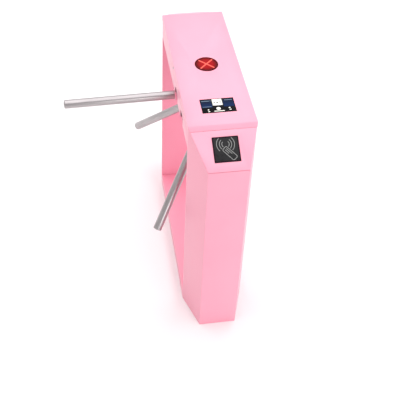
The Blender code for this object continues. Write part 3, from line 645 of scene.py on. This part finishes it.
ink, start, link = surface("ink", Roughness=0.4)
speckle = start.noise(start.place((800, 800, 800)), 1.0, 2.0)
link(speckle.mix((0.10, 0.10, 0.09, 1), (0.22, 0.21, 0.19, 1)), "Base Color")
marks = [
    disc(0.0032, (-0.0110, 0.0180), 16),
    rounded((0.0070, 0.0070), 0.0014, (0.0, 0.0165)),
    disc(0.0032, (0.0110, 0.0180), 16),
]
dress(printed("display_ink_marks", marks, 2), ink, "cabinet", "black_glass")


# --- Card reader ----------------------------------------------------------------------------------
# A dark acrylic plate lies in the sloping panel over the reader's aerial. A plain sign on it, arcs
# over the outline of a card, shows where to hold the card.
SLOPE = math.atan2(0.080, 0.1365)
SLOPE_START = Vector((0, -0.3815, 0.9860))
READER_SIZE = (0.0968, 0.0963)
READER_DOWN = 0.0745
READER_TOP = 0.0011
READER_BACK = -0.0020
slope_across = Vector((1, 0, 0))
slope_up = Vector((0, math.cos(SLOPE), math.sin(SLOPE)))
slope_out = Vector((0, -math.sin(SLOPE), math.cos(SLOPE)))
slope_turn = Matrix((slope_across, slope_up, slope_out)).transposed().to_4x4()
reader_place = Matrix.Translation(SLOPE_START - slope_up * READER_DOWN) @ slope_turn
reader_black, start, link = surface("reader_black", Specular_IOR_Level=0.10)
smears = start.noise(start.place((35, 35, 35)), 1.0, 4.0, 0.6)
link(smears.mix((0.018, 0.018, 0.019, 1), (0.027, 0.026, 0.028, 1)), "Base Color")
link(0.26 + 0.16 * smears.ease(0.4, 0.7), "Roughness")
plate = slab(
    "reader_plate",
    rounded(READER_SIZE, 0.0030),
    READER_BACK,
    READER_TOP,
    reader_place,
    0.0009,
)
dress(plate, reader_black, "cabinet", "black_glass", "reader_glass")

reader_border, start, link = surface("reader_border", Roughness=0.3, Specular_IOR_Level=0.05)
tone = start.noise(start.place((60, 60, 60)), 1.0, 2.0)
link(tone.mix((0.012, 0.003, 0.008, 1), (0.020, 0.005, 0.013, 1)), "Base Color")


def ribbon(name, path, half, low, high, place, closed=False):
    """A flat line of even width that follows a path."""
    count = len(path)
    points = [Vector(point) for point in path]
    left, right = [], []
    for step, point in enumerate(points):
        before = points[(step - 1) % count] if closed or step else point
        after = points[(step + 1) % count] if closed or step < count - 1 else point
        along = (after - before).normalized()
        side = Vector((-along.y, along.x)) * half
        left.append(point + side)
        right.append(point - side)
    form = bmesh.new()
    rows = []
    for a, b in zip(left, right):
        rows.append(
            (
                form.verts.new((a.x, a.y, low)),
                form.verts.new((b.x, b.y, low)),
                form.verts.new((b.x, b.y, high)),
                form.verts.new((a.x, a.y, high)),
            )
        )
    pairs = list(zip(rows, rows[1:]))
    if closed:
        pairs.append((rows[-1], rows[0]))
    for first, second in pairs:
        for corner in range(4):
            after = (corner + 1) % 4
            form.faces.new((first[corner], first[after], second[after], second[corner]))
    if not closed:
        form.faces.new(rows[0])
        form.faces.new(tuple(reversed(rows[-1])))
    bmesh.ops.recalc_face_normals(form, faces=form.faces)
    mesh = bpy.data.meshes.new(name)
    form.to_mesh(mesh)
    form.free()
    mesh.transform(place)
    piece = bpy.data.objects.new(name, mesh)
    bpy.context.scene.collection.objects.link(piece)
    return piece


LINE_LOW = READER_TOP - 0.0002
LINE_HIGH = READER_TOP + 0.0001
BORDER_INSET = 0.0055
BORDER_CORNER = 0.0028
BORDER_HALF = 0.0017
border_size = (READER_SIZE[0] - BORDER_INSET, READER_SIZE[1] - BORDER_INSET)
border = ribbon(
    "reader_border_line",
    rounded(border_size, BORDER_CORNER),
    BORDER_HALF,
    LINE_LOW,
    LINE_HIGH,
    reader_place,
    closed=True,
)
dress(border, reader_border, "cabinet", "black_glass")

sign_grey, start, link = surface("sign_grey", Roughness=0.45)
tone = start.noise(start.place((300, 300, 300)), 1.0, 3.0)
link(tone.mix((0.22, 0.22, 0.22, 1), (0.28, 0.28, 0.27, 1)), "Base Color")
ARC_CENTRE = (-0.0010, 0.0190)
LINE_HALF = 0.00115
WAVES = ((0.0135, 46), (0.0225, 48), (0.0330, 46))
CARD_SIZE = (0.0560, 0.0210)
CARD_CORNER = 0.0055
CARD_AT = Vector((0.0110, -0.0160))
CARD_TURN = Matrix.Rotation(math.radians(-48), 2)
lines = []
for arc_radius, spread in WAVES:
    for middle in (0, 180):
        lines.append(arc(ARC_CENTRE, arc_radius, middle - spread, middle + spread, 14))
sign = [ribbon("line", path, LINE_HALF, LINE_LOW, LINE_HIGH, reader_place) for path in lines]


def on_card(points):
    """Points drawn on the sign's card, which lies turned on the reader."""
    return [tuple(CARD_TURN @ Vector(point) + CARD_AT) for point in points]


card = on_card(rounded(CARD_SIZE, CARD_CORNER))
sign.append(ribbon("line", card, LINE_HALF, LINE_LOW, LINE_HIGH, reader_place, closed=True))
for start_x, end_x, level in ((-0.0215, 0.0070, 0.0042), (-0.0215, -0.0020, -0.0025)):
    stroke = on_card([(start_x, level), ((start_x + end_x) / 2, level), (end_x, level)])
    sign.append(ribbon("line", stroke, LINE_HALF, LINE_LOW, LINE_HIGH, reader_place))
dress(merge("reader_sign", sign), sign_grey, "cabinet", "black_glass")


# --- Lid screws -----------------------------------------------------------------------------------
# One zinc-plated button-head screw with a hex socket holds each long lip of the lid to the box.
zinc_plate, start, link = surface("zinc_plate", Metallic=1.0)
grain = start.noise(start.place((260, 260, 260)), 1.0, 3.0)
link(grain.mix((0.46, 0.47, 0.50, 1), (0.60, 0.60, 0.60, 1)), "Base Color")
link(0.30 + 0.18 * grain, "Roughness")


def screw_tree(name, mark):
    """Nodes that set one copy of a screw at each point, its head along the point's normal."""
    tree = bpy.data.node_groups.new(name, "GeometryNodeTree")
    tree.interface.new_socket("Points", in_out="INPUT", socket_type="NodeSocketGeometry")
    tree.interface.new_socket("Screw", in_out="INPUT", socket_type="NodeSocketObject")
    size = tree.interface.new_socket("Size", in_out="INPUT", socket_type="NodeSocketFloat")
    size.default_value = 1.0
    tree.interface.new_socket("Screws", in_out="OUTPUT", socket_type="NodeSocketGeometry")
    new, join = tree.nodes.new, tree.links.new
    given, result = new("NodeGroupInput"), new("NodeGroupOutput")
    info = new("GeometryNodeObjectInfo")
    instance = new("GeometryNodeInstanceOnPoints")
    normal = new("GeometryNodeInputNamedAttribute")
    normal.data_type = "FLOAT_VECTOR"
    normal.inputs["Name"].default_value = "out"
    align = new("FunctionNodeAlignRotationToVector")
    align.axis = "Z"
    realize = new("GeometryNodeRealizeInstances")
    paint = new("GeometryNodeSetMaterial")
    paint.inputs["Material"].default_value = mark
    join(given.outputs["Points"], instance.inputs["Points"])
    join(given.outputs["Screw"], info.inputs["Object"])
    join(info.outputs["Geometry"], instance.inputs["Instance"])
    join(normal.outputs["Attribute"], align.inputs["Vector"])
    join(align.outputs["Rotation"], instance.inputs["Rotation"])
    join(given.outputs["Size"], instance.inputs["Scale"])
    join(instance.outputs["Instances"], realize.inputs["Geometry"])
    join(realize.outputs["Geometry"], paint.inputs["Geometry"])
    join(paint.outputs["Geometry"], result.inputs["Screws"])
    return tree


def scatter(name, places, head, mark, size=1.0):
    """A copy of a head at each place, given as a point and the way it faces, as one piece."""
    mesh = bpy.data.meshes.new(name)
    mesh.from_pydata([tuple(point) for point, out in places], [], [])
    facing = mesh.attributes.new("out", "FLOAT_VECTOR", "POINT")
    for item, (point, out) in zip(facing.data, places):
        item.vector = out
    piece = bpy.data.objects.new(name, mesh)
    bpy.context.scene.collection.objects.link(piece)
    tree = screw_tree(f"{name}_nodes", mark)
    modifier = piece.modifiers.new("scatter", "NODES")
    modifier.node_group = tree
    for item in tree.interface.items_tree:
        if item.name == "Screw":
            modifier[item.identifier] = head
        if item.name == "Size":
            modifier[item.identifier] = size
    settle(piece)
    bpy.data.objects.remove(head)
    piece.data.shade_smooth()
    piece.data.set_sharp_from_angle(angle=math.radians(35))
    return piece


def button_head(radius, rise, socket, shank, length):
    """A button-head screw, its seat at the origin and its head upwards, with a hex socket."""
    profile = [
        (0, rise),
        (radius * 0.55, rise * 0.96),
        (radius * 0.82, rise * 0.72),
        (radius * 0.97, rise * 0.28),
        (radius, 0.0),
        (shank, 0.0),
        (shank, -length),
        (0, -length),
    ]
    head = lathe("button_head", profile, Matrix.Identity(4), 36, math.radians(50))
    hexagon = [
        (socket * math.cos(math.radians(60 * k)), socket * math.sin(math.radians(60 * k)))
        for k in range(6)
    ]
    key = slab("hex_key", hexagon, rise * 0.25, rise * 2, Matrix.Identity(4))
    combine(head, key, "DIFFERENCE")
    return head


HEAD_SEAT = 0.0016
screw_places = []
for node in ("lid_screw_left", "lid_screw_right"):
    low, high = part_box(node)
    side = 1 if high.x > 0 else -1
    seat = high.x - HEAD_SEAT if side > 0 else low.x + HEAD_SEAT
    middle = (low + high) / 2
    screw_places.append((Vector((seat, middle.y, middle.z)), Vector((side, 0, 0))))
lid_screws = scatter(
    "lid_screws", screw_places, button_head(0.0041, 0.0015, 0.0017, 0.0019, 0.0090), zinc_plate
)
dress(lid_screws, zinc_plate, "cabinet", "zinc_plated_steel", "lid_screw_left", "lid_screw_right")


# --- Panel screws ---------------------------------------------------------------------------------
# Small button-head screws, painted with the cabinet, hold the service panels in the columns above
# the tray, and hold the mechanism cover by its side walls just under the box.
PANEL_INSET = 0.020
COVER_INSET = 0.012
COVER_FRONT_INSET = 0.030
PAINT_GAP = 0.0001
tray_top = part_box("floor_tray")[1].z
panel_places = []
for node, facing in (("near_service_panel", 1), ("far_service_panel", -1)):
    low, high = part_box(node)
    seat = high.y + PAINT_GAP if facing > 0 else low.y - PAINT_GAP
    for across in (low.x + PANEL_INSET, high.x - PANEL_INSET):
        for level in (tray_top + PANEL_INSET, high.z - PANEL_INSET):
            panel_places.append((Vector((across, seat, level)), Vector((0, facing, 0))))
low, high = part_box("mechanism_cover")
for facing, seat in ((-1, low.y - PAINT_GAP), (1, high.y + PAINT_GAP)):
    for across in (low.x + COVER_FRONT_INSET, high.x - COVER_INSET):
        level = high.z - COVER_INSET
        panel_places.append((Vector((across, seat, level)), Vector((0, facing, 0))))
panel_screws = scatter(
    "panel_screws", panel_places, button_head(0.0036, 0.0013, 0.0015, 0.0012, 0.0012), powder_coat
)
dress(panel_screws, powder_coat, "cabinet", "pink_powder_coat")


# --- Mechanism and electronics --------------------------------------------------------------------
# Behind the sheets are the steel chassis, shaft, wheels, pawls and solenoids, and the boards that
# drive them. They keep their CAD shapes, in machined, plated, moulded or printed-board finishes.
machined_steel, start, link = surface("machined_steel", Metallic=1.0)
grain = start.noise(start.place((900, 90, 900)), 1.0, 3.0)
link(grain.mix((0.22, 0.22, 0.24, 1), (0.34, 0.34, 0.36, 1)), "Base Color")
link(0.30 + 0.2 * grain, "Roughness")

moulded_grey, start, link = surface("moulded_grey")
grain = start.noise(start.place((700, 700, 700)), 1.0, 2.0)
link(grain.mix((0.09, 0.09, 0.10, 1), (0.12, 0.12, 0.13, 1)), "Base Color")
link(0.45 + 0.15 * grain, "Roughness")
link(
    start.node("ShaderNodeBump", None, {"Strength": 0.2, "Distance": 0.0002, "Height": grain}),
    "Normal",
)

circuit_green, start, link = surface("circuit_green", Coat_Weight=0.3)
tracks = start.node(
    "ShaderNodeTexBrick",
    {"offset": 0.5},
    {
        "Vector": start.place((110, 110, 110)),
        "Color1": (0.010, 0.120, 0.045, 1),
        "Color2": (0.014, 0.150, 0.055, 1),
        "Mortar": (0.060, 0.260, 0.110, 1),
        "Scale": 1.0,
        "Mortar Size": 0.02,
    },
)
link(tracks, "Base Color")
link(0.3 + 0.2 * start.noise(start.place((200, 200, 200)), 1.0, 2.0), "Roughness")

turned_brass, start, link = surface("turned_brass", Metallic=1.0)
grain = start.noise(start.place((500, 500, 500)), 1.0, 2.0)
link(grain.mix((0.62, 0.44, 0.18, 1), (0.75, 0.57, 0.26, 1)), "Base Color")
link(0.25 + 0.15 * grain, "Roughness")

finishes = {
    "pink_powder_coat": powder_coat,
    "brushed_stainless": zinc_plate,
    "machined_steel": machined_steel,
    "zinc_plated_steel": zinc_plate,
    "black_glass": black_acrylic,
    "red_lens": lens_red,
    "green_board": circuit_green,
    "grey_plastic": moulded_grey,
    "brass": turned_brass,
}
for entry in frame["record"]["subparts"]:
    node = frame["nodes"][entry["node"]]
    for slot in node.material_slots:
        slot.material = finishes[entry["material_slot"]]


# --- Floor, light and camera ----------------------------------------------------------------------
# The turnstile stands on a pale studio floor that sweeps up into a wall all round. A wide soft
# light hangs above it and a smaller one stands in front.
studio_white, start, link = surface("studio_white", Roughness=0.7)
grain = start.noise(start.place((3, 3, 3)), 1.0, 2.0)
link(grain.mix((0.93, 0.93, 0.93, 1), (0.95, 0.95, 0.95, 1)), "Base Color")
FLOOR_REACH = 4.5
SWEEP_RADIUS = 4.5
WALL_TOP = 6.0
floor_profile = [(0, 0), *arc((FLOOR_REACH, SWEEP_RADIUS), SWEEP_RADIUS, -90, 0, 12)]
floor_profile.append((FLOOR_REACH + SWEEP_RADIUS, WALL_TOP))
studio_floor = lathe("studio_floor", floor_profile, Matrix.Identity(4), 96)
studio_floor.data.materials.append(studio_white)

world = bpy.data.worlds.new("studio")
bpy.context.scene.world = world
world.use_nodes = True
world.node_tree.nodes["Background"].inputs["Color"].default_value = (1.0, 0.985, 0.99, 1)
world.node_tree.nodes["Background"].inputs["Strength"].default_value = 0.64


def soft_box(name, place, target, size, power):
    """A large soft light aimed at a point."""
    lamp = bpy.data.lights.new(name, "AREA")
    lamp.shape = "RECTANGLE"
    lamp.size, lamp.size_y = size
    lamp.energy = power
    holder = bpy.data.objects.new(name, lamp)
    bpy.context.scene.collection.objects.link(holder)
    holder.location = place
    aim = Vector(target) - Vector(place)
    holder.rotation_euler = aim.to_track_quat("-Z", "Y").to_euler()


soft_box("ceiling_light", (0.2, 1.3, 3.6), (0.2, 1.301, 0), (6.0, 6.0), 160)
soft_box("front_light", (1.7, -4.4, 1.8), (0, 0, 0.5), (3.4, 2.4), 66)

LENS_MM = 72.6
LENS_SHIFT = (0.055, -0.125)
CAMERA_PLACE = (-0.5045, -2.5340, 2.9000)
CAMERA_HEADING = math.radians(8.940)
CAMERA_DOWN = math.radians(42.476)
CAMERA_ROLL = math.radians(1.287)
camera = bpy.data.cameras.new("camera")
camera.sensor_width = 36
camera.lens = LENS_MM
camera.shift_x = LENS_SHIFT[0]
camera.shift_y = LENS_SHIFT[1]
camera_holder = bpy.data.objects.new("camera", camera)
bpy.context.scene.collection.objects.link(camera_holder)
camera_holder.matrix_world = (
    Matrix.Translation(CAMERA_PLACE)
    @ Matrix.Rotation(-CAMERA_HEADING, 4, "Z")
    @ Matrix.Rotation(math.pi / 2 - CAMERA_DOWN, 4, "X")
    @ Matrix.Rotation(CAMERA_ROLL, 4, "Z")
)
bpy.context.scene.camera = camera_holder
bpy.context.scene.view_settings.view_transform = "Standard"
